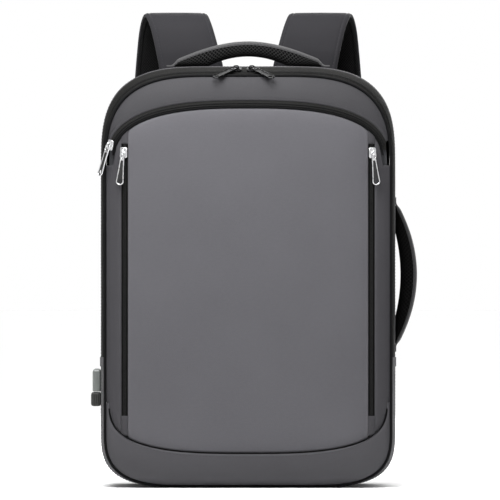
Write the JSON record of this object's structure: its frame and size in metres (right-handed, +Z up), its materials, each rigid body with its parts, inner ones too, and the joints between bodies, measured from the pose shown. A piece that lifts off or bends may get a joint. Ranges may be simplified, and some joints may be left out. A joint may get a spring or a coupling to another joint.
{
  "type": "laptop backpack",
  "caption": "Clamshell laptop backpack with folding front lid, zipped front pocket, padded top and side handles, shoulder straps and a capped USB port.",
  "frame": {"origin": "middle of the flat base, on the floor it stands on", "axes": "+Z up, the front faces -Y, +X to the right of a person looking at the front"},
  "size_m": [0.3384, 0.2038, 0.4917],
  "materials": {
    "coated_fabric": "matt coated polyester twill",
    "gusset_fabric": "matt coated polyester",
    "zip_tape": "woven zip tape with nylon coil",
    "zip_metal": "dark nickel plate",
    "air_mesh": "3D air mesh over foam",
    "plastic_board": "moulded plastic",
    "lining": "plain lining",
    "webbing": "woven webbing",
    "rubber": "ribbed matt rubber",
    "port_plastic": "satin moulded plastic",
    "socket_steel": "plated sheet"
  },
  "bodies": {
    "pack": {"top_gusset": "gusset_fabric", "left_gusset": "gusset_fabric", "right_gusset": "gusset_fabric", "base_gusset": "gusset_fabric", "base_board": "plastic_board", "back_board": "plastic_board", "back_panel": "coated_fabric", "back_pad_left": "air_mesh", "back_pad_right": "air_mesh", "lumbar_pad": "air_mesh", "rear_piping": "webbing", "laptop_sleeve": "lining", "sleeve_strap": "webbing", "lower_pocket_wall": "lining", "main_zip_tape_rear": "zip_tape", "lower_shoulder": "gusset_fabric", "front_piping_lower": "webbing", "lower_front_panel": "coated_fabric", "bottom_boot": "gusset_fabric", "strap_yoke_left": "coated_fabric", "strap_yoke_right": "coated_fabric", "strap_tab_left": "webbing", "strap_tab_right": "webbing", "usb_housing": "port_plastic", "usb_socket": "socket_steel", "usb_tongue": "port_plastic"},
    "lid": {"lid_pocket_wall": "lining", "inner_pocket": "lining", "front_panel": "coated_fabric", "upper_band": "coated_fabric", "side_strip_left": "coated_fabric", "side_strip_right": "coated_fabric", "side_zip_left": "zip_tape", "side_zip_right": "zip_tape", "arch_zip": "zip_tape", "main_zip_tape_front": "zip_tape", "front_piping": "webbing"},
    "top_handle": {"top_handle_cover": "coated_fabric", "top_handle_pad": "air_mesh"},
    "side_handle": {"side_handle_cover": "coated_fabric", "side_handle_pad": "air_mesh"},
    "strap_left": {"strap_left_cover": "coated_fabric", "strap_left_lining": "air_mesh", "ladder_lock_left": "plastic_board", "strap_webbing_left": "webbing"},
    "strap_right": {"strap_right_cover": "coated_fabric", "strap_right_lining": "air_mesh", "ladder_lock_right": "plastic_board", "strap_webbing_right": "webbing"},
    "usb_cap": {"usb_cap": "rubber"},
    "main_left_slider": {"main_left_slider": "zip_metal"},
    "main_left_puller": {"main_left_puller": "zip_metal"},
    "main_right_slider": {"main_right_slider": "zip_metal"},
    "main_right_puller": {"main_right_puller": "zip_metal"},
    "arch_slider": {"arch_slider": "zip_metal"},
    "arch_puller": {"arch_puller": "zip_metal"},
    "side_left_slider": {"side_left_slider": "zip_metal"},
    "side_left_puller": {"side_left_puller": "zip_metal"},
    "side_right_slider": {"side_right_slider": "zip_metal"},
    "side_right_puller": {"side_right_puller": "zip_metal"}
  },
  "joints": [
    {"name": "lid_fold", "type": "hinge", "parent": "pack", "child": "lid", "pos_m": [0, -0.077, 0.134], "axis": [1, 0, 0], "range_deg": [0, 105]},
    {"name": "main_right_slide", "type": "slide", "parent": "pack", "child": "main_right_slider", "axis": [1, 0, 0], "range_m": [0, 0.045]},
    {"name": "main_left_slide", "type": "slide", "parent": "pack", "child": "main_left_slider", "axis": [-1, 0, 0], "range_m": [0, 0.045]},
    {"name": "arch_slide", "type": "hinge", "parent": "lid", "child": "arch_slider", "pos_m": [-0.0936, -0.0669, 0.3321], "axis": [0.0837, 0.9847, 0.1526], "range_deg": [0, 45]},
    {"name": "side_right_slide", "type": "slide", "parent": "lid", "child": "side_right_slider", "axis": [0, -0.009, -1], "range_m": [0, 0.165]},
    {"name": "side_left_slide", "type": "slide", "parent": "lid", "child": "side_left_slider", "axis": [0, -0.009, -1], "range_m": [0, 0.165]},
    {"name": "main_right_pull", "type": "hinge", "parent": "main_right_slider", "child": "main_right_puller", "pos_m": [0.004, -0.05106, 0.43298], "axis": [-0.7547, -0.6133, -0.233], "range_deg": [0, 150]},
    {"name": "main_left_pull", "type": "hinge", "parent": "main_left_slider", "child": "main_left_puller", "pos_m": [-0.0122, -0.05106, 0.43298], "axis": [-0.7193, 0.6494, 0.2468], "range_deg": [0, 150]},
    {"name": "arch_pull", "type": "hinge", "parent": "arch_slider", "child": "arch_puller", "pos_m": [-0.14388, -0.06929, 0.353], "axis": [-0.5302, 0.8182, 0.2222], "range_deg": [0, 140]},
    {"name": "side_right_pull", "type": "hinge", "parent": "side_right_slider", "child": "side_right_puller", "pos_m": [0.12886, -0.07342, 0.3451], "axis": [-0.9454, -0.3087, -0.1045], "range_deg": [0, 150]},
    {"name": "side_left_pull", "type": "hinge", "parent": "side_left_slider", "child": "side_left_puller", "pos_m": [-0.12886, -0.07342, 0.3451], "axis": [-0.9454, 0.3087, 0.1045], "range_deg": [0, 150]},
    {"name": "top_handle_flop", "type": "hinge", "parent": "pack", "child": "top_handle", "pos_m": [0, 0.03, 0.4395], "axis": [1, 0, 0], "range_deg": [-12, 12]},
    {"name": "side_handle_swing", "type": "hinge", "parent": "pack", "child": "side_handle", "pos_m": [0.1555, 0.01, 0.2185], "axis": [0, 0, 1], "range_deg": [-12, 12]},
    {"name": "strap_right_swing", "type": "hinge", "parent": "pack", "child": "strap_right", "pos_m": [0.06, 0.066, 0.42], "axis": [-0.1833, 0.0053, 0.983], "range_deg": [-12, 12]},
    {"name": "strap_left_swing", "type": "hinge", "parent": "pack", "child": "strap_left", "pos_m": [-0.06, 0.066, 0.42], "axis": [-0.1833, -0.0053, -0.983], "range_deg": [-12, 12]},
    {"name": "usb_cap_hinge", "type": "hinge", "parent": "pack", "child": "usb_cap", "pos_m": [-0.1628, -0.005, 0.097], "axis": [0, 1, 0], "range_deg": [0, 90]}
  ]
}
